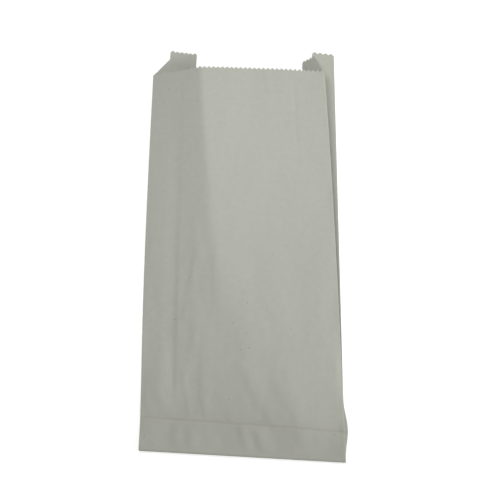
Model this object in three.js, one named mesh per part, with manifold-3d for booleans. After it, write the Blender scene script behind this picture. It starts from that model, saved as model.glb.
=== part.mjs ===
// A flat-bottomed gusseted paper bag, lying on its back with its mouth a little open.
// One web of paper is folded into a tube with two side gussets, lapped and glued down the
// middle of the back, cut across the top by a serrated knife, and closed by turning the
// bottom end of the tube over on to the back and gluing it down.
// Millimetres, +X across the bag, +Y from the bottom fold to the mouth, +Z up from the table.
import * as THREE from "three";
import { mergeVertices } from "three/addons/utils/BufferGeometryUtils.js";
import Module from "manifold-3d";

// The paper and the way its plies lie on each other.
const PAPER = 0.15;
const PLY_GAP = 0.3;
const PLY_PITCH = PAPER + PLY_GAP;
const BEND_STEPS = 3;
const RISE_STEPS = 3;
const UPPER_STEPS = 15;

// The tube: the front and back are this wide, and each gusset is two plies of this depth.
const PANEL_WIDTH = 180;
const GUSSET_DEPTH = 30;
const LAP_WIDTH = 12;
const LAP_BEVEL = 0.4;

// The cut across the mouth, as lengths from the bottom fold and rises above the front's edge.
const FRONT_LENGTH = 390;
const GUSSET_RISE = 23;
const TAB_RISE = 37;
const RIGHT_PLY_SLANT = 11.5;
const LEFT_PLY_SLANT = 16.5;
const REAR_PLY_SLANT = 9.5;
const RIGHT_TAB_WIDTH = 21;
const LEFT_TAB_WIDTH = 25;
const TOOTH_PITCH = 4.74;
const TOOTH_DEPTH = 2.5;

// The bottom: how much of the tube is turned over, and how far the fold runs off square.
const TAIL_LENGTH = 26.5;
const FOLD_SKEW = 4.8;
const GLUE_INSET = 6;
const GLUE_WIDTH = 14;
const TAIL_SETTLE = 40;

// How the bag lies: where it starts to open, how high the front's edges stand at the mouth, and how
// far each fold of the front and the back is drawn aside there.
const OPEN_FROM = 62;
const OPENING_CURVE = 1.1;
const LEFT_EDGE_HEIGHT = 14;
const RIGHT_EDGE_HEIGHT = 22;
const FRONT_LEFT_DRIFT = -5;
const FRONT_RIGHT_DRIFT = -6.8;
const BACK_LEFT_DRIFT = 10;
const BACK_RIGHT_DRIFT = 6.3;
const RIGHT_INNER_LIFT = 4.5;
const LEFT_CURL = 4.5;
const LEFT_CURL_LENGTH = 90;
const CORNER_BULGE = 3;
const CORNER_BULGE_AT = 27;
const CORNER_BULGE_REACH = 26;

// The ridge on the front: it runs down from the mouth, turns, and ends in the far corner.
const RIDGE_AT = 60;
const RIDGE_TURN = 150;
const RIDGE_RISE = 11.5;
const LOW_RIDGE_RISE = 2.4;
const RIDGE_CRISPNESS = 6;

// The front stands a little off the plies under it, and is creased where they end.
const PUFF = 1.2;
const LEFT_CREASE = 0.9;
const RIGHT_CREASE = 0.5;
const CREASE_REACH = 9;

const clamp = (x, low, high) => Math.min(high, Math.max(low, x));
const lerp = (a, b, share) => a + (b - a) * share;
const smooth = (x) => {
  const share = clamp(x, 0, 1);
  return share * share * (3 - 2 * share);
};
const bump = (x, centre, reach) => smooth(1 - Math.abs(x - centre) / reach);

const STACK = 3 * PLY_PITCH;
const BEND_RADIUS = PLY_PITCH / 2;
const TURN_LENGTH = Math.PI * (BEND_RADIUS + STACK / 2);
const CUT_BASE = FRONT_LENGTH - TOOTH_DEPTH;
const FOOT_HEIGHT = PAPER / 2 + STACK + 2 * BEND_RADIUS;
const SKEW_ANGLE = Math.atan(FOLD_SKEW / (PANEL_WIDTH / 2));
const KNEE_AT = GUSSET_DEPTH - REAR_PLY_SLANT;

// How far the bag is open, from 0 near the bottom to 1 at the front's edge and a little more above.
function opening(length) {
  const share = Math.max(0, (length - OPEN_FROM) / (FRONT_LENGTH - OPEN_FROM));
  return share ** OPENING_CURVE;
}

// The back lies on the table, apart from where it climbs on to the turned-over tail.
function backHeight(length) {
  const settled = smooth((length - TAIL_LENGTH) / TAIL_SETTLE);
  return lerp(FOOT_HEIGHT, PAPER / 2, settled);
}

// The front's rise over its two edges: straight up to the ridge from the left, then round to the right.
function ridge(across, length) {
  const turning = (PANEL_WIDTH - RIDGE_AT) / (RIDGE_TURN - TAIL_LENGTH);
  const offset = RIDGE_AT + turning * Math.max(0, RIDGE_TURN - length);
  const crest = Math.min(offset / PANEL_WIDTH, 1 - RIDGE_AT / PANEL_WIDTH / 2);
  const left = across / crest;
  const right = 1 - Math.max(0, (across - crest) / (1 - crest)) ** 2;
  const rise = Math.hypot(
    RIDGE_RISE * opening(length),
    LOW_RIDGE_RISE * smooth((length - TAIL_LENGTH) / TAIL_SETTLE),
  );
  if (left <= 0 || right <= 0) return 0;
  return rise * (left ** -RIDGE_CRISPNESS + right ** -RIDGE_CRISPNESS) ** (-1 / RIDGE_CRISPNESS);
}

// Between its folds the front is puffed up, less so along the inner fold of each gusset and over the tail.
function puff(across, length) {
  const fromLeft = across * PANEL_WIDTH;
  const fromRight = PANEL_WIDTH - fromLeft;
  const creased =
    LEFT_CREASE * bump(fromLeft, GUSSET_DEPTH, CREASE_REACH) +
    RIGHT_CREASE * bump(fromRight, GUSSET_DEPTH, CREASE_REACH);
  const besideFolds = smooth(Math.min(fromLeft, fromRight) / GUSSET_DEPTH);
  return smooth(length / (2 * TAIL_LENGTH)) * besideFolds * PUFF * (1 - creased);
}

// Towards the mouth the back's left edge curls up off the table.
function backCurl(fromLeft, length) {
  const along = smooth(1 - (FRONT_LENGTH + TAB_RISE - length) / LEFT_CURL_LENGTH);
  return LEFT_CURL * along * Math.max(0, 1 - fromLeft / LEFT_TAB_WIDTH) ** 2;
}

// The right gusset's inner fold: a ply's depth from the front's edge and from the back's edge.
function innerFoldRight(front, back, open) {
  const top = front.z - 1.5 * PLY_PITCH;
  const bottom = back.z + 1.5 * PLY_PITCH;
  const apart = Math.hypot(back.x - front.x, top - bottom);
  const inward = Math.sqrt(GUSSET_DEPTH ** 2 - (apart / 2) ** 2);
  const tilt = apart > 1e-6 ? (back.x - front.x) / apart : 0;
  const z = clamp((top + bottom) / 2 - tilt * inward, bottom + RIGHT_INNER_LIFT * open ** 2, top);
  const fromTop = Math.sqrt(GUSSET_DEPTH ** 2 - (top - z) ** 2);
  const fromBottom = Math.sqrt(GUSSET_DEPTH ** 2 - (z - bottom) ** 2);
  return { x: (front.x + back.x - fromTop - fromBottom) / 2, z };
}

// The left gusset's rear ply lies on the back as far as a knee, and then rises to the inner fold.
function innerFoldLeft(front, back) {
  const top = front.z - 1.5 * PLY_PITCH;
  const bottom = back.z + 1.5 * PLY_PITCH;
  const across = back.x + KNEE_AT - front.x;
  const down = top - bottom;
  const apart = Math.hypot(across, down);
  const rising = GUSSET_DEPTH - KNEE_AT;
  const along = (GUSSET_DEPTH ** 2 - rising ** 2 + apart ** 2) / (2 * apart);
  const up = Math.sqrt(Math.max(0, GUSSET_DEPTH ** 2 - along ** 2));
  return {
    x: front.x + (along * across + up * down) / apart,
    z: clamp(top - (along * down - up * across) / apart, bottom, top),
  };
}

// The tube's six folds at one length, in a plane across the bag. The front's left fold is drawn aside
// early on the way to the mouth, its right fold late, and the back's two folds evenly.
function section(length) {
  const open = opening(length);
  const half = PANEL_WIDTH / 2;
  const along = Math.max(0, length - TAIL_LENGTH) / (FRONT_LENGTH - TAIL_LENGTH);
  const early = 1 - (1 - Math.min(1, along)) ** 3;
  const late = along ** 2;
  const base = backHeight(length);
  const bulge = CORNER_BULGE * bump(length, CORNER_BULGE_AT, CORNER_BULGE_REACH);
  const frontHeight = (edgeHeight) => base + lerp(STACK, edgeHeight, open);
  const frontLeft = { x: FRONT_LEFT_DRIFT * early - half, z: frontHeight(LEFT_EDGE_HEIGHT) };
  const frontRight = { x: half + FRONT_RIGHT_DRIFT * late, z: frontHeight(RIGHT_EDGE_HEIGHT) };
  const backLeft = { x: BACK_LEFT_DRIFT * along - half, z: base };
  const backRight = { x: half + BACK_RIGHT_DRIFT * along + bulge, z: base };
  return {
    frontLeft,
    frontRight,
    backLeft,
    backRight,
    innerLeft: innerFoldLeft(frontLeft, backLeft),
    innerRight: innerFoldRight(frontRight, backRight, open),
    curl: (fromLeft) => backCurl(fromLeft, length),
  };
}

// One ply of a gusset runs straight between its two folds.
const between = (from, to, share) => ({ x: lerp(from.x, to.x, share), z: lerp(from.z, to.z, share) });

// A fold is a half turn of one ply pitch, bulging to the given side.
function halfTurn(upper, side, share) {
  const angle = Math.PI * share;
  const middle = upper.z - BEND_RADIUS;
  return { x: upper.x + side * BEND_RADIUS * Math.sin(angle), z: middle + BEND_RADIUS * Math.cos(angle) };
}

const raised = (point, by) => ({ x: point.x, z: point.z + by });

// The walls of the tube in the order in which the web passes through them, front left to front left.
const PANELS = {
  front: (at, share, length) => {
    const { frontLeft, frontRight } = at;
    return raised(between(frontLeft, frontRight, share), ridge(share, length) + puff(share, length));
  },
  frontRightFold: (at, share) => halfTurn(at.frontRight, 1, share),
  frontPlyRight: (at, share) =>
    between(raised(at.frontRight, -PLY_PITCH), raised(at.innerRight, BEND_RADIUS), share),
  innerRightFold: (at, share) => halfTurn(raised(at.innerRight, BEND_RADIUS), -1, share),
  rearPlyRight: (at, share) =>
    between(raised(at.innerRight, -BEND_RADIUS), raised(at.backRight, PLY_PITCH), share),
  backRightFold: (at, share) => halfTurn(raised(at.backRight, PLY_PITCH), 1, share),
  back: (at, share) => {
    const fromLeft = (1 - share) * PANEL_WIDTH;
    return raised(between(at.backRight, at.backLeft, share), at.curl(fromLeft));
  },
  backLeftFold: (at, share) => halfTurn(raised(at.backLeft, PLY_PITCH + at.curl(0)), -1, 1 - share),
  rearPlyLeft: (at, share) => {
    const onBack = (inward) => {
      const z = at.backLeft.z + PLY_PITCH + at.curl(inward);
      return { x: at.backLeft.x + inward, z };
    };
    const depth = share * GUSSET_DEPTH;
    if (depth <= KNEE_AT) return onBack(depth);
    const beyond = (depth - KNEE_AT) / (GUSSET_DEPTH - KNEE_AT);
    return between(onBack(KNEE_AT), raised(at.innerLeft, -BEND_RADIUS), beyond);
  },
  innerLeftFold: (at, share) => halfTurn(raised(at.innerLeft, BEND_RADIUS), 1, 1 - share),
  frontPlyLeft: (at, share) =>
    between(raised(at.innerLeft, BEND_RADIUS), raised(at.frontLeft, -PLY_PITCH), share),
  frontLeftFold: (at, share) => halfTurn(at.frontLeft, -1, 1 - share),
};

// The knife's line over one panel: runs of even rise or of a slant, with or without teeth.
const teethIn = (width) => Math.max(1, Math.round(width / TOOTH_PITCH));
const toothed = (width, rise, perColumn = 1) => ({
  width,
  from: rise,
  to: rise,
  perColumn,
  teeth: teethIn(width),
});
const slanted = (width, from, to) => ({ width, from, to, perColumn: 1, teeth: 0 });
const folded = (rise) => ({ width: 0, from: rise, to: rise, perColumn: 1, teeth: 0, turn: true });
const NOTCH_WIDTH = PANEL_WIDTH - LEFT_TAB_WIDTH - RIGHT_TAB_WIDTH;
const RUNS = {
  front: [toothed(PANEL_WIDTH, 0, 2)],
  frontRightFold: [folded(0)],
  frontPlyRight: [
    slanted(RIGHT_PLY_SLANT, 0, GUSSET_RISE),
    toothed(GUSSET_DEPTH - RIGHT_PLY_SLANT, GUSSET_RISE),
  ],
  innerRightFold: [folded(GUSSET_RISE)],
  rearPlyRight: [slanted(REAR_PLY_SLANT, GUSSET_RISE, TAB_RISE), toothed(KNEE_AT, TAB_RISE)],
  backRightFold: [folded(TAB_RISE)],
  back: [toothed(RIGHT_TAB_WIDTH, TAB_RISE), toothed(NOTCH_WIDTH, 0, 3), toothed(LEFT_TAB_WIDTH, TAB_RISE)],
  backLeftFold: [folded(TAB_RISE)],
  rearPlyLeft: [toothed(KNEE_AT, TAB_RISE), slanted(REAR_PLY_SLANT, TAB_RISE, GUSSET_RISE)],
  innerLeftFold: [folded(GUSSET_RISE)],
  frontPlyLeft: [
    toothed(GUSSET_DEPTH - LEFT_PLY_SLANT, GUSSET_RISE),
    slanted(LEFT_PLY_SLANT, GUSSET_RISE, 0),
  ],
  frontLeftFold: [folded(0)],
};

// The columns of the web: every edge between two cells, with the cut's rise there on its two sides.
function columnsOfWeb() {
  const columns = [];
  for (const [panel, runs] of Object.entries(RUNS)) {
    const width = runs.reduce((sum, run) => sum + run.width, 0);
    let done = 0;
    for (const run of runs) {
      const steps = run.turn ? BEND_STEPS : Math.max(1, Math.ceil(run.teeth / run.perColumn));
      for (let step = 0; step < steps; step += 1) {
        const teethBefore = Math.min(run.teeth, step * run.perColumn);
        const teethHere = Math.min(run.teeth, (step + 1) * run.perColumn) - teethBefore;
        const start = run.teeth ? teethBefore / run.teeth : step / steps;
        const end = run.teeth ? (teethBefore + teethHere) / run.teeth : (step + 1) / steps;
        columns.push({
          panel,
          from: run.turn ? start : (done + start * run.width) / width,
          to: run.turn ? end : (done + end * run.width) / width,
          riseFrom: lerp(run.from, run.to, start),
          riseTo: lerp(run.from, run.to, end),
          teeth: teethHere,
          tailTeeth: run.turn ? 0 : teethHere || teethIn(run.width / steps),
        });
      }
      done += run.width;
    }
  }
  return columns;
}

// Lengths at which the web has a row of points, from the tail's end to the foot of the front's teeth.
function rowsOfWeb() {
  const tail = [TAIL_LENGTH - TOOTH_DEPTH + TURN_LENGTH, TAIL_LENGTH / 2 + TURN_LENGTH];
  const turn = [4, 3, 2, 1].map((step) => (step * TURN_LENGTH) / 4);
  const foot = [0, 0.4, 0.8, 1, 1.2].map((share) => share * TAIL_LENGTH);
  const rise = [TAIL_LENGTH + TAIL_SETTLE / 2, TAIL_LENGTH + TAIL_SETTLE];
  const last = rise[rise.length - 1];
  const shares = Array.from({ length: UPPER_STEPS }, (_, step) => (step + 1) / UPPER_STEPS);
  const upper = shares.map((share) => lerp(last, CUT_BASE, share));
  return [...[...tail, ...turn].map((length) => -length), ...foot, ...rise, ...upper];
}

// A point of the folded tube. Below 0 the tube turns over its bottom fold and lies under the back.
function place(panel, share, length) {
  const at = section(Math.max(length, 0));
  const flat = PANELS[panel](at, share, Math.max(length, 0));
  const skew = -flat.x * Math.tan(SKEW_ANGLE);
  if (length >= 0) {
    const square = clamp(1 - length / FRONT_LENGTH, 0, 1);
    return new THREE.Vector3(flat.x, length + skew * square, flat.z);
  }
  const angle = Math.PI * Math.min(1, -length / TURN_LENGTH);
  const past = Math.max(0, -length - TURN_LENGTH);
  const radius = BEND_RADIUS + flat.z - FOOT_HEIGHT;
  const axis = FOOT_HEIGHT - BEND_RADIUS;
  return new THREE.Vector3(
    flat.x + past * Math.sin(2 * SKEW_ANGLE),
    skew + past * Math.cos(2 * SKEW_ANGLE) - radius * Math.sin(angle),
    axis + radius * Math.cos(angle),
  );
}

// The paper's outward normal, from its slopes along and across the web.
function outward(panel, share, length) {
  const step = 1e-3;
  const low = Math.max(0, share - step);
  const high = Math.min(1, share + step);
  const across = place(panel, high, length).sub(place(panel, low, length));
  const along = place(panel, share, length + step).sub(place(panel, share, length - step));
  return across.cross(along).normalize();
}

// A corner where two panels meet takes the mean of their normals.
function pointOn(column, share, length) {
  const position = place(column.panel, share, length);
  const normal = outward(column.panel, share, length);
  const order = Object.keys(PANELS);
  const here = order.indexOf(column.panel);
  const count = order.length;
  if (share === 0) normal.add(outward(order[(here + count - 1) % count], 1, length));
  if (share === 1) normal.add(outward(order[(here + 1) % count], 0, length));
  return { position, normal: normal.normalize() };
}

// Down the middle of the back the web's two edges overlap, so the wall is two papers thick inwards.
function inwardThickness(column, share) {
  if (column.panel !== "back") return PAPER / 2;
  const fromMiddle = Math.abs(share - 0.5) * PANEL_WIDTH;
  const onLap = clamp((LAP_WIDTH / 2 + LAP_BEVEL - fromMiddle) / LAP_BEVEL, 0, 1);
  return PAPER / 2 + PAPER * onLap;
}

// The back's columns are cut again at the edges of the lap.
function withLapEdges(columns) {
  const edges = [LAP_WIDTH / 2 + LAP_BEVEL, LAP_WIDTH / 2, -LAP_WIDTH / 2, -LAP_WIDTH / 2 - LAP_BEVEL];
  const marks = edges.map((offset) => 0.5 - offset / PANEL_WIDTH);
  return columns.map((column) => ({
    ...column,
    cuts: column.panel === "back" ? marks.filter((mark) => mark > column.from && mark < column.to) : [],
  }));
}

// Triangles of the web over its whole loop, as corners on the web, each with its column and share.
function trianglesOfWeb() {
  const triangles = [];
  const rows = rowsOfWeb();
  for (const column of withLapEdges(columnsOfWeb())) {
    const at = (share, level) => ({ column, share, length: level(share) });
    const along = (share) => (share - column.from) / (column.to - column.from);
    const riseAt = (share) => lerp(column.riseFrom, column.riseTo, along(share));
    const teethOf = (count) =>
      Array.from({ length: count + 1 }, (_, i) => lerp(column.from, column.to, i / count));
    const withCuts = (shares) => [...new Set([...shares, ...column.cuts])].sort((a, b) => a - b);
    const lines = withCuts([column.from, column.to]);
    const mouth = column.teeth ? teethOf(column.teeth) : [];
    const tail = column.tailTeeth ? teethOf(column.tailTeeth) : [];

    const levels = rows.map((row) => () => row);
    const risen = Math.max(column.riseFrom, column.riseTo) > 0 ? RISE_STEPS : 0;
    for (let step = 1; step <= risen; step += 1)
      levels.push((share) => CUT_BASE + (riseAt(share) * step) / risen);
    for (let i = 1; i < levels.length; i += 1) {
      const [low, high] = [levels[i - 1], levels[i]];
      const lowShares = i === 1 ? withCuts([...lines, ...tail]) : lines;
      const highShares = i === levels.length - 1 ? withCuts([...lines, ...mouth]) : lines;
      for (let line = 1; line < lines.length; line += 1) {
        const inside = (share) => share >= lines[line - 1] && share <= lines[line];
        const below = lowShares.filter(inside);
        const above = highShares.filter(inside);
        for (let k = 1; k < below.length; k += 1)
          triangles.push([at(below[k - 1], low), at(below[k], low), at(above[0], high)]);
        for (let k = 1; k < above.length; k += 1)
          triangles.push([at(below.at(-1), low), at(above[k], high), at(above[k - 1], high)]);
      }
    }

    const cutTeeth = (marks, level, depth) => {
      for (let k = 1; k < marks.length; k += 1) {
        const tip = at((marks[k - 1] + marks[k]) / 2, (share) => level(share) + depth);
        const foot = withCuts(marks.slice(k - 1, k + 1)).filter((x) => x >= marks[k - 1] && x <= marks[k]);
        for (let f = 1; f < foot.length; f += 1) {
          const pair = [at(foot[f - 1], level), at(foot[f], level)];
          triangles.push(depth > 0 ? [...pair, tip] : [...pair.reverse(), tip]);
        }
      }
    };
    cutTeeth(mouth, levels.at(-1), TOOTH_DEPTH);
    cutTeeth(tail, levels[0], -TOOTH_DEPTH);
  }
  return triangles;
}

// The web becomes a wall: its outer and inner faces, and a rim along every edge that is cut.
function wallOfPaper() {
  const points = [];
  const known = new Map();
  const indexOf = ({ column, share, length }) => {
    const { position, normal } = pointOn(column, share, length);
    const key = position.toArray().map((x) => Math.round(x * 1e4)).join();
    if (!known.has(key)) {
      known.set(key, points.length);
      points.push({
        outer: position.clone().addScaledVector(normal, PAPER / 2),
        inner: position.clone().addScaledVector(normal, -inwardThickness(column, share)),
      });
    }
    return known.get(key);
  };
  const faces = trianglesOfWeb()
    .map((corners) => corners.map(indexOf))
    .filter(([a, b, c]) => a !== b && b !== c && c !== a);
  const edges = new Set(faces.flatMap(([a, b, c]) => [`${a},${b}`, `${b},${c}`, `${c},${a}`]));
  const count = points.length;
  const index = [];
  for (const [a, b, c] of faces) {
    index.push(a, b, c, c + count, b + count, a + count);
    for (const [from, to] of [[a, b], [b, c], [c, a]])
      if (!edges.has(`${to},${from}`)) index.push(to, from, from + count, to, from + count, to + count);
  }
  const flat = [...points.map((p) => p.outer), ...points.map((p) => p.inner)].flatMap((p) => p.toArray());
  const geometry = new THREE.BufferGeometry();
  geometry.setAttribute("position", new THREE.Float32BufferAttribute(flat, 3));
  geometry.setIndex(index);
  return geometry;
}

// The line of glue that holds the tail to the back, bedded half a paper into each.
function glueLine() {
  const depth = PLY_GAP + PAPER;
  const height = FOOT_HEIGHT - BEND_RADIUS;
  const glue = new THREE.BoxGeometry(PANEL_WIDTH - 4 * GLUE_INSET, GLUE_WIDTH, depth);
  glue.rotateZ(-SKEW_ANGLE);
  glue.translate(0, GLUE_INSET + GLUE_WIDTH / 2, height);
  return glue;
}

const wasm = await Module();
wasm.setup();

function toSolid(geometry) {
  const bare = geometry.clone();
  bare.deleteAttribute("normal");
  bare.deleteAttribute("uv");
  const merged = mergeVertices(bare, 1e-4);
  return new wasm.Manifold(
    new wasm.Mesh({
      numProp: 3,
      vertProperties: merged.attributes.position.array,
      triVerts: new Uint32Array(merged.index.array),
    }),
  );
}

function toGeometry(solid) {
  const mesh = solid.getMesh();
  const geometry = new THREE.BufferGeometry();
  geometry.setAttribute("position", new THREE.Float32BufferAttribute(mesh.vertProperties, 3));
  geometry.setIndex(new THREE.Uint32BufferAttribute(mesh.triVerts, 1));
  return geometry;
}

// The bag is centred over the origin and its lowest paper lies at height 0.
function paperBag() {
  const geometry = toGeometry(toSolid(wallOfPaper()).add(toSolid(glueLine())));
  geometry.computeBoundingBox();
  const { min, max } = geometry.boundingBox;
  geometry.translate(-(min.x + max.x) / 2, -(min.y + max.y) / 2, -min.z);
  geometry.computeVertexNormals();
  const paper = new THREE.MeshStandardMaterial({ color: 0xb3b3aa, roughness: 0.85, metalness: 0 });
  const mesh = new THREE.Mesh(geometry, paper);
  mesh.name = "paper_bag";
  return mesh;
}

const bag = new THREE.Group();
bag.name = "gusseted_paper_bag";
bag.add(paperBag());

export default bag;
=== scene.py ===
import bmesh
import bpy
import math
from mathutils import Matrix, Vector, noise


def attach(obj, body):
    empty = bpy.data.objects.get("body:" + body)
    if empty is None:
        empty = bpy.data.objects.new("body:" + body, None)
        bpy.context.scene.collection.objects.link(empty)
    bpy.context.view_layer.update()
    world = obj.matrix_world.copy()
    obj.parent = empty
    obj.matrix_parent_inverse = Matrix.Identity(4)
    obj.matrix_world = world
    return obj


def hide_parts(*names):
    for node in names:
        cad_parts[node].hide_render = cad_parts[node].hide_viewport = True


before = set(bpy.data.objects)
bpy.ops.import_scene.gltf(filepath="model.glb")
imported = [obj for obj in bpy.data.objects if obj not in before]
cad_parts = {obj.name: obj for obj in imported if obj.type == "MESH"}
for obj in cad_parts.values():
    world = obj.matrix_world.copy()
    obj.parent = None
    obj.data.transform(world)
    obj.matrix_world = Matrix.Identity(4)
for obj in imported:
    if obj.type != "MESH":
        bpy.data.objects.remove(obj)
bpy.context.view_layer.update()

scene = bpy.context.scene

# The paper bag: one web of thin uncoated paper, folded into a tube with two side gussets. Each
# panel and each fold is a grid whose points are moved to their place on the folded web, in mm.
# The grids are welded where they meet, and the sheet is then given its thickness.
PAPER = 0.15
PLY_PITCH = 0.45
STACK = 3 * PLY_PITCH
BEND = PLY_PITCH / 2
WIDTH = 180
GUSSET = 30
LAP = 12
LAP_STEP = 1
FRONT_LENGTH = 390

# The tail is turned over at the foot and glued to the back. The turn was made a little off square,
# by FOOT_SLANT over half the width. Past the tail the back settles on the table within TAIL_SETTLE,
# and at the tail's end its right edge bulges out.
TAIL = 26.5
TAIL_SETTLE = 40
TURN = math.pi * (BEND + STACK / 2)
FOOT = PAPER / 2 + STACK + 2 * BEND
FOOT_SLANT = 4.8
SKEW = math.atan(FOOT_SLANT / (WIDTH / 2))
BULGE = 3
BULGE_AT = 27
BULGE_REACH = 26

# The knife's cut. Rises are over the front's cut, slants and steps are measured along a gusset's
# ply, and the widths of the two tabs along the back.
TOOTH_DEPTH = 2.5
FRONT_TEETH = 38
CUT_BASE = FRONT_LENGTH - TOOTH_DEPTH
GUSSET_RISE = 23
TAB_RISE = 37
LEFT_INNER_RISE = 9
LEFT_TAB = 28.5
RIGHT_TAB = 21
LEFT_SLANT = 16.5
RIGHT_SLANT = 11.5
REAR_STEP_AT = 9.5
REAR_STEP = 1.5
KNEE_AT = GUSSET - REAR_STEP_AT

# How the mouth stands open: how high the front's two edges are there, and how far each fold is
# drawn to the right of its place on a closed bag.
OPEN_FROM = 62
OPENING_CURVE = 1.1
LEFT_OPENING = 14
RIGHT_OPENING = 22
FRONT_LEFT_DRIFT = -5
FRONT_RIGHT_DRIFT = -6.8
BACK_LEFT_DRIFT = 10
BACK_RIGHT_DRIFT = 6.3


def lerp(a, b, share):
    return a + (b - a) * share


def smooth(x):
    x = min(1, max(0, x))
    return x * x * (3 - 2 * x)


def opening(length):
    return (max(0, length - OPEN_FROM) / (FRONT_LENGTH - OPEN_FROM)) ** OPENING_CURVE


# A ridge runs down the front, high at the mouth and low at the foot, where its crest swings across
# to the right. Outside the gusset's inner fold the left slope is steeper at the foot and flatter
# at the mouth. The right slope is rounded at the foot and nearly straight above.
RIDGE_AT_FOOT = 2
RIDGE_AT_MOUTH = 12
RIDGE_STARTS_OVER = 35
CREST_AT_FOOT = 0.42
CREST_AT_MOUTH = 0.27
CREST_SWING = 0.4
CREST_SWING_OVER = 60
OUTER_SLOPE_AT_FOOT = 1.2
OUTER_SLOPE_AT_MOUTH = 0.77
STRAIGHTNESS_AT_FOOT = -0.2
STRAIGHTNESS_ABOVE = 0.7
ROUND_UP_TO = 20
STRAIGHTENS_OVER = 180
SOFT_CREST = 10
SHARP_CREST = 22
SHARPENS_OVER = 250


def ridge(across, length):
    if across <= 0 or across >= 1:
        return 0
    along = length / FRONT_LENGTH
    height = lerp(RIDGE_AT_FOOT, RIDGE_AT_MOUTH, along) * smooth(length / RIDGE_STARTS_OVER)
    crest = lerp(CREST_AT_FOOT, CREST_AT_MOUTH, along) + CREST_SWING * math.exp(-length / CREST_SWING_OVER)
    inner_fold = GUSSET / WIDTH / crest
    outer_slope = lerp(OUTER_SLOPE_AT_FOOT, OUTER_SLOPE_AT_MOUTH, along)
    left = across / crest
    if left < inner_fold:
        left *= outer_slope
    else:
        from_fold = (left - inner_fold) / (1 - inner_fold)
        left = lerp(inner_fold * outer_slope, 1, from_fold)
    beyond = (across - crest) / (1 - crest)
    straightened = smooth((length - ROUND_UP_TO) / STRAIGHTENS_OVER)
    straight = lerp(STRAIGHTNESS_AT_FOOT, STRAIGHTNESS_ABOVE, straightened)
    right = 1 - (straight * beyond + (1 - straight) * beyond * abs(beyond))
    sharpness = lerp(SOFT_CREST, SHARP_CREST, smooth(length / SHARPENS_OVER))
    crown = -math.log(math.exp(-sharpness * left) + math.exp(-sharpness * right)) / sharpness
    return height * crown


# Small folds and dents that the front has taken, each running down the web. Start and end are mm
# from the left edge and mm from the bottom fold, then its height and its reach to left and right.
SMALL_FOLDS = [
    ((28, 400), (29.5, 225), -0.4, 14, 5),
    ((29, 262), (27, 24), -0.35, 12, 5),
    ((13, 122), (26, 44), 0.15, 14, 7),
    ((11, 60), (24, 31), 0.12, 8, 8),
    ((46, 222), (51, 180), 0.18, 6, 7),
    ((51, 194), (41, 138), 0.15, 5, 8),
    ((42, 154), (38, 112), 0.14, 5, 7),
    ((47, 215), (48, 75), 0.22, 7, 15),
    ((66, 196), (66, 126), 0.1, 4, 9),
    ((51, 118), (39, 62), 0.12, 5, 9),
    ((59, 122), (53, 34), 0.16, 6, 11),
    ((36, 82), (41, 44), 0.18, 5, 6),
    ((41, 52), (44, 26), 0.16, 4, 5),
    ((54, 54), (58, 27), 0.18, 4, 7),
    ((88, 84), (112, 32), 0.32, 9, 20),
    ((112, 42), (116, 25), 0.25, 7, 11),
    ((120, 70), (137, 34), 0.22, 9, 18),
    ((137, 42), (142, 4), 0.2, 6, 14),
    ((31, 26), (32, 1), 0.12, 6, 8),
    ((43, 25), (45, 1), 0.15, 6, 8),
    ((58, 27), (61, 1), 0.16, 5, 11),
    ((89, 27), (96, 1), 0.35, 7, 10),
    ((101, 25), (111, 1), 0.5, 9, 14),
    ((147, 396), (147, 285), -0.08, 3, 3),
    ((118, 396), (122, 345), 0.1, 5, 7),
]
FADE_AT_ENDS = 1 / 4


def small_folds(from_left, length):
    height = 0
    for (start, high), (end, low), rise, left_reach, right_reach in SMALL_FOLDS:
        if low < length < high:
            run = (high - length) / (high - low)
            aside = from_left - lerp(start, end, run)
            reach = left_reach if aside < 0 else right_reach
            fade = smooth(min(run, 1 - run) / FADE_AT_ENDS)
            height += rise * fade * smooth(1 - abs(aside) / reach)
    return height


# Where the turned-over tail ends underneath, the front steps down off it in a fine crease, deeper
# in some patches than in others. All over, the paper has low waves and dimples, which are only half
# as high towards the mouth.
CREASE_DEPTH = 0.55
CREASE_PAST_TAIL = 1.8
CREASE_SLANT = 3.7
CREASE_WOBBLE = 0.4
CREASE_STEP = 2
CREASE_FADE = 12
CREASE_EVEN = 0.7
CREASE_PATCHY = 0.6
CREASE_PATCH = 25
WAVE = 0.5
WAVE_WIDTH = 30
WAVE_LENGTH = 55
DIMPLE = 0.12
DIMPLE_WIDTH = 9
DIMPLE_LENGTH = 14
LEVEL_FROM = 120
LEVEL_OVER = 120
LEVELLED = 0.5


def unevenness(from_left, length):
    wobble = CREASE_WOBBLE * noise.noise(Vector((from_left / DIMPLE_WIDTH, 7, 0)))
    past = length - (TAIL + CREASE_PAST_TAIL - CREASE_SLANT * from_left / WIDTH + wobble)
    crease = -CREASE_DEPTH * (smooth(past / CREASE_STEP + 1) if past < 0 else smooth(1 - past / CREASE_FADE))
    crease *= CREASE_EVEN + CREASE_PATCHY * noise.noise(Vector((from_left / CREASE_PATCH, 3, 1)))
    waves = WAVE * noise.noise(Vector((from_left / WAVE_WIDTH, length / WAVE_LENGTH, 4)))
    dimples = DIMPLE * noise.noise(Vector((from_left / DIMPLE_WIDTH, length / DIMPLE_LENGTH, 9)))
    return crease + (waves + dimples) * lerp(1, LEVELLED, smooth((length - LEVEL_FROM) / LEVEL_OVER))


# What the front has over the plane of its two edges. Within EDGE of them its dents fade out.
EDGE = 5


def relief(across, length):
    from_left = across * WIDTH
    from_edge = smooth(min(from_left, WIDTH - from_left, length) / EDGE)
    dents = small_folds(from_left, length) + unevenness(from_left, length)
    return ridge(across, length) + from_edge * dents


# Towards the mouth the back's left edge curls up off the table.
CURL = 4.5
CURL_LENGTH = 90


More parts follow.
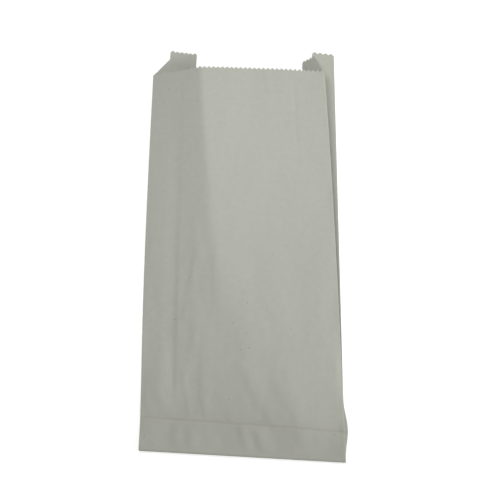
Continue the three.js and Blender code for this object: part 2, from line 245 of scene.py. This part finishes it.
def back_curl(from_left, length):
    along = smooth(1 - (FRONT_LENGTH + TAB_RISE - length) / CURL_LENGTH)
    return CURL * along * max(0, 1 - from_left / LEFT_TAB) ** 2


# The right gusset's inner fold lies the width of a ply from the front's edge and from the back's
# edge. In height it keeps FOLD_DEPTH clear of both, and towards the mouth it lifts off the back.
FOLD_DEPTH = 1.5 * PLY_PITCH
RIGHT_INNER_LIFT = 4.5


def inner_fold_right(front, back, share):
    top, bottom = front[1] - FOLD_DEPTH, back[1] + FOLD_DEPTH
    across = back[0] - front[0]
    apart = math.hypot(across, top - bottom)
    inward = math.sqrt(GUSSET ** 2 - (apart / 2) ** 2)
    z = (top + bottom) / 2 - (across / apart * inward if apart > 1e-6 else 0)
    z = min(top, max(bottom + RIGHT_INNER_LIFT * share ** 2, z))
    reach = math.sqrt(GUSSET ** 2 - (top - z) ** 2) + math.sqrt(GUSSET ** 2 - (z - bottom) ** 2)
    return ((front[0] + back[0] - reach) / 2, z)


# The left gusset's rear ply lies on the back as far as a knee, and then rises to the inner fold.
def inner_fold_left(front, back):
    top, bottom = front[1] - FOLD_DEPTH, back[1] + FOLD_DEPTH
    across, down = back[0] + KNEE_AT - front[0], top - bottom
    apart = math.hypot(across, down)
    along = (GUSSET ** 2 - (GUSSET - KNEE_AT) ** 2 + apart ** 2) / (2 * apart)
    up = math.sqrt(max(0, GUSSET ** 2 - along ** 2))
    z = min(top, max(bottom, top - (along * down - up * across) / apart))
    return (front[0] + (along * across + up * down) / apart, z)


# The six folds of the tube at one length, as (x, z) in a plane across the bag. The front's left
# edge is drawn aside most in the lower half, and its right edge most towards the mouth.
def section(length):
    opened = opening(length)
    along = max(0, length - TAIL) / (FRONT_LENGTH - TAIL)
    early = 1 - (1 - min(1, along)) ** 3
    half = WIDTH / 2
    base = lerp(FOOT, PAPER / 2, smooth((length - TAIL) / TAIL_SETTLE))
    bulge = BULGE * smooth(1 - abs(length - BULGE_AT) / BULGE_REACH)
    front_left = (-half + FRONT_LEFT_DRIFT * early, base + lerp(STACK, LEFT_OPENING, opened))
    front_right = (half + FRONT_RIGHT_DRIFT * along ** 2, base + lerp(STACK, RIGHT_OPENING, opened))
    back_left = (BACK_LEFT_DRIFT * along - half, base)
    back_right = (half + BACK_RIGHT_DRIFT * along + bulge, base)
    return {
        "front_left": front_left,
        "front_right": front_right,
        "back_left": back_left,
        "back_right": back_right,
        "inner_left": inner_fold_left(front_left, back_left),
        "inner_right": inner_fold_right(front_right, back_right, opened),
    }


# A panel runs from one fold to another, and round each fold the paper makes a half turn from its
# upper ply to its lower one.
def between(a, b, share, lift_a=0, lift_b=0):
    return (lerp(a[0], b[0], share), lerp(a[1] + lift_a, b[1] + lift_b, share))


def half_turn(top, lift, side, share):
    angle = math.pi * share
    return (top[0] + side * BEND * math.sin(angle), top[1] + lift - BEND + BEND * math.cos(angle))


def on_section(panel, share, length):
    at = section(length)
    if panel == "front":
        x, z = between(at["front_left"], at["front_right"], share)
        return (x, z + relief(share, length))
    if panel == "front_right_fold":
        return half_turn(at["front_right"], 0, 1, share)
    if panel == "front_ply_right":
        return between(at["front_right"], at["inner_right"], share, -PLY_PITCH, BEND)
    if panel == "inner_right_fold":
        return half_turn(at["inner_right"], BEND, -1, share)
    if panel == "rear_ply_right":
        return between(at["inner_right"], at["back_right"], share, -BEND, PLY_PITCH)
    if panel == "back_right_fold":
        return half_turn(at["back_right"], PLY_PITCH, 1, share)
    if panel in ("back_outer", "back_inner"):
        lift = back_curl((1 - share) * WIDTH, length)
        if panel == "back_inner":
            lift += PAPER * smooth(((0.5 + (LAP / 2 + LAP_STEP) / WIDTH) - share) * WIDTH)
        return between(at["back_right"], at["back_left"], share, lift, lift)
    if panel == "back_left_fold":
        return half_turn(at["back_left"], PLY_PITCH + back_curl(0, length), -1, 1 - share)
    if panel == "rear_ply_left":
        inward = share * GUSSET
        flat = min(inward, KNEE_AT)
        x, z = at["back_left"]
        knee = (x + flat, z + PLY_PITCH + back_curl(flat, length))
        beyond = max(0, inward - KNEE_AT) / (GUSSET - KNEE_AT)
        return between(knee, at["inner_left"], beyond, 0, -BEND * beyond)
    if panel == "inner_left_fold":
        return half_turn(at["inner_left"], BEND, 1, 1 - share)
    if panel == "front_ply_left":
        return between(at["inner_left"], at["front_left"], share, BEND, -PLY_PITCH)
    return half_turn(at["front_left"], 0, -1, 1 - share)


# A point of the web. Length is from the bottom fold: below nought it is in the turn, and past the
# turn in the tail, which runs back under the bag.
def on_web(panel, share, length):
    x, z = on_section(panel, share, max(length, 0))
    skew = -x * math.tan(SKEW)
    if length >= 0:
        return Vector((x, length + skew * min(1, max(0, 1 - length / FRONT_LENGTH)), z))
    angle = math.pi * min(1, -length / TURN)
    past = max(0, -length - TURN)
    radius = BEND + z - FOOT
    return Vector((
        x + past * math.sin(2 * SKEW),
        skew + past * math.cos(2 * SKEW) - radius * math.sin(angle),
        FOOT - BEND + radius * math.cos(angle),
    ))


# The width of a panel in mm. A fold is measured in shares of its half turn, so it counts as one.
def width_of(panel):
    if "fold" in panel:
        return 1
    return GUSSET if "ply" in panel else WIDTH


# The runs of the knife's cut, round the tube from the front's left fold: panel, from and to (mm
# along it, or a share of a fold), rise at both ends, columns of the grid, and if it has teeth.
notch_from, notch_to = RIGHT_TAB, WIDTH - LEFT_TAB
lap_from, lap_to = WIDTH / 2 - LAP / 2, WIDTH / 2 + LAP / 2
COLUMNS_PER_TOOTH = 2
FRONT_COLUMNS_PER_TOOTH = 4
runs = [
    ("front", 0, WIDTH, 0, 0, FRONT_TEETH * FRONT_COLUMNS_PER_TOOTH, True),
    ("front_right_fold", 0, 1, 0, 0, 4, False),
    ("front_ply_right", 0, RIGHT_SLANT, 0, GUSSET_RISE, 6, False),
    ("front_ply_right", RIGHT_SLANT, GUSSET, GUSSET_RISE, GUSSET_RISE, 8, True),
    ("inner_right_fold", 0, 1, GUSSET_RISE, GUSSET_RISE, 4, False),
    ("rear_ply_right", 0, REAR_STEP_AT - REAR_STEP, GUSSET_RISE, GUSSET_RISE, 4, False),
    ("rear_ply_right", REAR_STEP_AT - REAR_STEP, REAR_STEP_AT, GUSSET_RISE, TAB_RISE, 2, False),
    ("rear_ply_right", REAR_STEP_AT, GUSSET, TAB_RISE, TAB_RISE, 8, True),
    ("back_right_fold", 0, 1, TAB_RISE, TAB_RISE, 4, False),
    ("back_outer", 0, notch_from, TAB_RISE, TAB_RISE, 8, True),
    ("back_outer", notch_from, lap_to, 0, 0, 30, True),
    ("back_inner", lap_from, notch_to, 0, 0, 30, True),
    ("back_inner", notch_to, WIDTH, TAB_RISE, TAB_RISE, 12, True),
    ("back_left_fold", 0, 1, TAB_RISE, TAB_RISE, 4, False),
    ("rear_ply_left", 0, KNEE_AT - REAR_STEP, TAB_RISE, TAB_RISE, 8, True),
    ("rear_ply_left", KNEE_AT - REAR_STEP, KNEE_AT, TAB_RISE, LEFT_INNER_RISE, 2, False),
    ("rear_ply_left", KNEE_AT, GUSSET, LEFT_INNER_RISE, LEFT_INNER_RISE, 4, False),
    ("inner_left_fold", 0, 1, LEFT_INNER_RISE, LEFT_INNER_RISE, 4, False),
    ("front_ply_left", 0, GUSSET - LEFT_SLANT, LEFT_INNER_RISE, GUSSET_RISE, 6, False),
    ("front_ply_left", GUSSET - LEFT_SLANT, GUSSET, GUSSET_RISE, 0, 6, False),
    ("front_left_fold", 0, 1, 0, 0, 4, False),
]

# The grid's rows, as lengths. They lie close in the turn and at the crease over the tail's end,
# and the last ones share out what a run rises over the front's cut.
TAIL_ROWS = 4
TURN_ROWS = 8
CREASE_ROWS_FROM = 20
FOOT_ROWS_FROM = 32
FOOT_ROWS = 14
LONG_ROWS_FROM = 68
LONG_ROWS = 84
RISE_ROWS = 12
tail_rows = [-(TAIL - TOOTH_DEPTH) * (1 - i / TAIL_ROWS) - TURN for i in range(TAIL_ROWS)]
turn_rows = [-TURN * (1 - i / TURN_ROWS) for i in range(TURN_ROWS)]
low_rows = list(range(0, CREASE_ROWS_FROM, 2))
crease_rows = list(range(CREASE_ROWS_FROM, FOOT_ROWS_FROM))
foot_rows = [FOOT_ROWS_FROM + 2.5 * i for i in range(FOOT_ROWS)]
long_rows = [lerp(LONG_ROWS_FROM, CUT_BASE, i / (LONG_ROWS - 1)) for i in range(LONG_ROWS)]
rows = tail_rows + turn_rows + low_rows + crease_rows + foot_rows + long_rows
steps = len(rows) + RISE_ROWS + 1

web = bmesh.new()
for panel, start, end, rise_from, rise_to, columns, toothed in runs:
    grid = bmesh.ops.create_grid(web, x_segments=columns, y_segments=steps, size=0.5)
    per_tooth = FRONT_COLUMNS_PER_TOOTH if panel == "front" else COLUMNS_PER_TOOTH
    for vert in grid["verts"]:
        i = round((vert.co.x + 0.5) * columns)
        j = round((vert.co.y + 0.5) * steps)
        share = lerp(start, end, i / columns) / width_of(panel)
        rise = lerp(rise_from, rise_to, i / columns)
        from_root = min(i % per_tooth, per_tooth - i % per_tooth)
        tooth = 0 if "fold" in panel else TOOTH_DEPTH * from_root * 2 / per_tooth
        if j == 0:
            length = rows[0] - tooth
        elif j <= len(rows):
            length = rows[j - 1]
        else:
            length = CUT_BASE + rise * min(1, (j - len(rows)) / RISE_ROWS)
            if j == steps and toothed:
                length += tooth
        vert.co = on_web(panel, share, length)
bmesh.ops.remove_doubles(web, verts=web.verts, dist=0.01)


# The middle of the web along one axis. The bag is centred on it in plan.
def middle(axis):
    places = [vert.co[axis] for vert in web.verts]
    return (min(places) + max(places)) / 2


bmesh.ops.translate(web, vec=(-middle(0), -middle(1), 0), verts=web.verts)
bmesh.ops.scale(web, vec=(0.001, 0.001, 0.001), verts=web.verts)
mesh = bpy.data.meshes.new("paper_web")
web.to_mesh(mesh)
web.free()
for face in mesh.polygons:
    face.use_smooth = True
bag = bpy.data.objects.new("paper_web", mesh)
scene.collection.objects.link(bag)
thicken = bag.modifiers.new("thickness", "SOLIDIFY")
thicken.thickness = PAPER / 1000
thicken.offset = 0
bag.modifiers.new("shading", "WEIGHTED_NORMAL")


# The paper: pale warm grey, uncoated and matt, with a cloudy sheet formation, short fibres and a
# few dark specks of recycled pulp. Its grain stands out a few hundredths of a millimetre.
def linear(colour):
    def channel(c):
        return c / 12.92 if c <= 0.04045 else ((c + 0.055) / 1.055) ** 2.4
    return (*(channel(int(colour[i : i + 2], 16) / 255) for i in (0, 2, 4)), 1)


# Adds a node with its settings, and with what goes into its sockets: a link or a value.
def add(tree, kind, inputs=(), **settings):
    node = tree.nodes.new(kind)
    for key, value in settings.items():
        if key in node.bl_rna.properties:
            setattr(node, key, value)
        else:
            node.inputs[key.replace("_", " ")].default_value = value
    for socket, source in inputs:
        if isinstance(source, bpy.types.NodeSocket):
            tree.links.new(source, node.inputs[socket])
        else:
            node.inputs[socket].default_value = source
    return node


# Sizes of the patterns, in mm.
CLOUD = 5
FIBRE_LENGTH = 1.1
FIBRE_PITCH = 0.33
GRAIN = 0.06
SPECK_SPACING = 14
SPECK_CORE = 0.35
SPECK_EDGE = 0.6
paper = bpy.data.materials.new("grey_paper")
paper.use_nodes = True
tree = paper.node_tree
tree.nodes.clear()
place = add(tree, "ShaderNodeTexCoord").outputs["Object"]
cloud = add(tree, "ShaderNodeTexNoise", [("Vector", place)], Scale=1000 / CLOUD, Detail=5, Roughness=0.75)
cloudy = add(tree, "ShaderNodeMapRange", [("Value", cloud.outputs["Fac"])], From_Min=0.3, From_Max=0.7)
speck = add(tree, "ShaderNodeTexVoronoi", [("Vector", place)], Scale=1000 / SPECK_SPACING)
specked = add(
    tree, "ShaderNodeMapRange", [("Value", speck.outputs["Distance"])],
    From_Min=SPECK_CORE / SPECK_SPACING, From_Max=SPECK_EDGE / SPECK_SPACING, To_Min=1, To_Max=0,
)

# Painted shade: the paper's colour is painted a little darker towards the foot, and a thin painted shade line
# darkens the crease over the tail's end. In metres from the bag's middle, the crease runs at CREASE_LINE and
# slants down to the right.
CREASE_LINE = -0.184
CREASE_FALL = 0.07
CREASE_CORE = 0.0004
CREASE_EDGE = 0.0016
FOOT_SHADE_FROM = -0.135
FOOT_SHADE_FULL = -0.185
slant = (CREASE_FALL, 1, 0)
up_bag = add(tree, "ShaderNodeVectorMath", [(0, place), (1, slant)], operation="DOT_PRODUCT").outputs["Value"]
painted_foot_shade = add(
    tree, "ShaderNodeMapRange", [("Value", up_bag)],
    From_Min=FOOT_SHADE_FROM, From_Max=FOOT_SHADE_FULL, To_Max=0.4,
)
past_crease = add(tree, "ShaderNodeMath", [(0, up_bag), (1, CREASE_LINE)], operation="SUBTRACT")
off_crease = add(tree, "ShaderNodeMath", [(0, past_crease.outputs["Value"])], operation="ABSOLUTE")
painted_crease_shade = add(
    tree, "ShaderNodeMapRange", [("Value", off_crease.outputs["Value"])],
    From_Min=CREASE_CORE, From_Max=CREASE_EDGE, To_Min=0.5, To_Max=0,
)
painted_shade = add(
    tree, "ShaderNodeMath", [(0, painted_foot_shade.outputs["Result"]), (1, painted_crease_shade.outputs["Result"])],
    operation="ADD", use_clamp=True,
)

# Each colour is laid over the ones before it.
colour = linear("aeafa5")
for share, shade in (
    (cloudy.outputs["Result"], "b3b4ab"),
    # the third layer is painted shade, at the foot and along the crease over the tail's end
    (painted_shade.outputs["Value"], "a4a49a"),
    (specked.outputs["Result"], "8a867b"),
):
    layers = [(0, share), (6, colour), (7, linear(shade))]
    colour = add(tree, "ShaderNodeMix", layers, data_type="RGBA").outputs[2]

fibre_scale = (1000 / FIBRE_PITCH, 1000 / FIBRE_LENGTH, 1000 / FIBRE_LENGTH)
fibre_place = add(tree, "ShaderNodeMapping", [("Vector", place), ("Scale", fibre_scale)])
fibre = add(tree, "ShaderNodeTexNoise", [("Vector", fibre_place.outputs["Vector"])], Scale=1, Detail=3)
grain = add(tree, "ShaderNodeBump", [("Height", fibre.outputs["Fac"])], Strength=0.35, Distance=GRAIN / 1000)
shader = add(
    tree, "ShaderNodeBsdfPrincipled", [("Base Color", colour), ("Normal", grain.outputs["Normal"])],
    Roughness=0.88, Specular_IOR_Level=0.25,
)
add(tree, "ShaderNodeOutputMaterial", [("Surface", shader.outputs["BSDF"])])
mesh.materials.append(paper)
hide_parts("paper_bag")
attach(bag, "root")


# The floor: a plain pale table top, 6 m wide. Where it is seen it is lit evenly up to white, while
# it still takes the bag's soft shadow. Seen means straight from the camera, in a reflection or
# through glass.
def seen(tree, to_the_rest, to_the_camera):
    path = add(tree, "ShaderNodeLightPath")
    ray = path.outputs["Is Camera Ray"]
    for kind in ("Is Glossy Ray", "Is Transmission Ray"):
        either = add(tree, "ShaderNodeMath", [(0, ray), (1, path.outputs[kind])], operation="MAXIMUM")
        ray = either.outputs["Value"]
    level = add(tree, "ShaderNodeMapRange", [("Value", ray)], To_Min=to_the_rest, To_Max=to_the_camera)
    return level.outputs["Result"]


FLOOR_HALF = 3
floor_form = bmesh.new()
bmesh.ops.create_grid(floor_form, x_segments=1, y_segments=1, size=FLOOR_HALF)
floor_mesh = bpy.data.meshes.new("floor")
floor_form.to_mesh(floor_mesh)
floor_form.free()
floor = bpy.data.objects.new("floor", floor_mesh)
floor.location.z = -0.0001
scene.collection.objects.link(floor)
pale = bpy.data.materials.new("pale_floor")
pale.use_nodes = True
pale_tree = pale.node_tree
finish = pale_tree.nodes["Principled BSDF"]
finish.inputs["Base Color"].default_value = linear("f4f4f2")
finish.inputs["Roughness"].default_value = 0.9
finish.inputs["Emission Color"].default_value = (1, 1, 1, 1)
pale_tree.links.new(seen(pale_tree, 0, 0.42), finish.inputs["Emission Strength"])
floor_mesh.materials.append(pale)

# The studio: an even pale surround, a near soft lamp above the bag's upper half, and a broad one
# low on the right that rakes across the paper and draws its ridge and folds.
world = bpy.data.worlds.new("studio")
world.use_nodes = True
surround = world.node_tree.nodes["Background"]
surround.inputs["Color"].default_value = (1, 1, 1, 1)
world.node_tree.links.new(seen(world.node_tree, 0.41, 1), surround.inputs["Strength"])
scene.world = world

near = bpy.data.lights.new("near_lamp", "POINT")
near.shadow_soft_size = 0.09
near.energy = 3.5
near_lamp = bpy.data.objects.new("near_lamp", near)
near_lamp.location = (-0.08, 0.095, 0.45)
scene.collection.objects.link(near_lamp)

side = bpy.data.lights.new("side_lamp", "AREA")
side.shape = "DISK"
side.size = 0.5
side.energy = 50
side_lamp = bpy.data.objects.new("side_lamp", side)
side_lamp.location = (2.2, -0.45, 0.4)
side_lamp.rotation_euler = (-side_lamp.location).to_track_quat("-Z", "Y").to_euler()
scene.collection.objects.link(side_lamp)

# The camera: it looks down on the bag from beyond its foot, nearly 0.8 m from the bag's middle.
lens = bpy.data.cameras.new("camera")
lens.lens = 57.6
lens.sensor_width = 36
camera = bpy.data.objects.new("camera", lens)
camera.location = (-0.0026, -0.3213, 0.7132)
camera.rotation_euler = [math.radians(angle) for angle in (23.23, -0.7, 0.09)]
scene.collection.objects.link(camera)
scene.camera = camera
scene.view_settings.view_transform = "Standard"
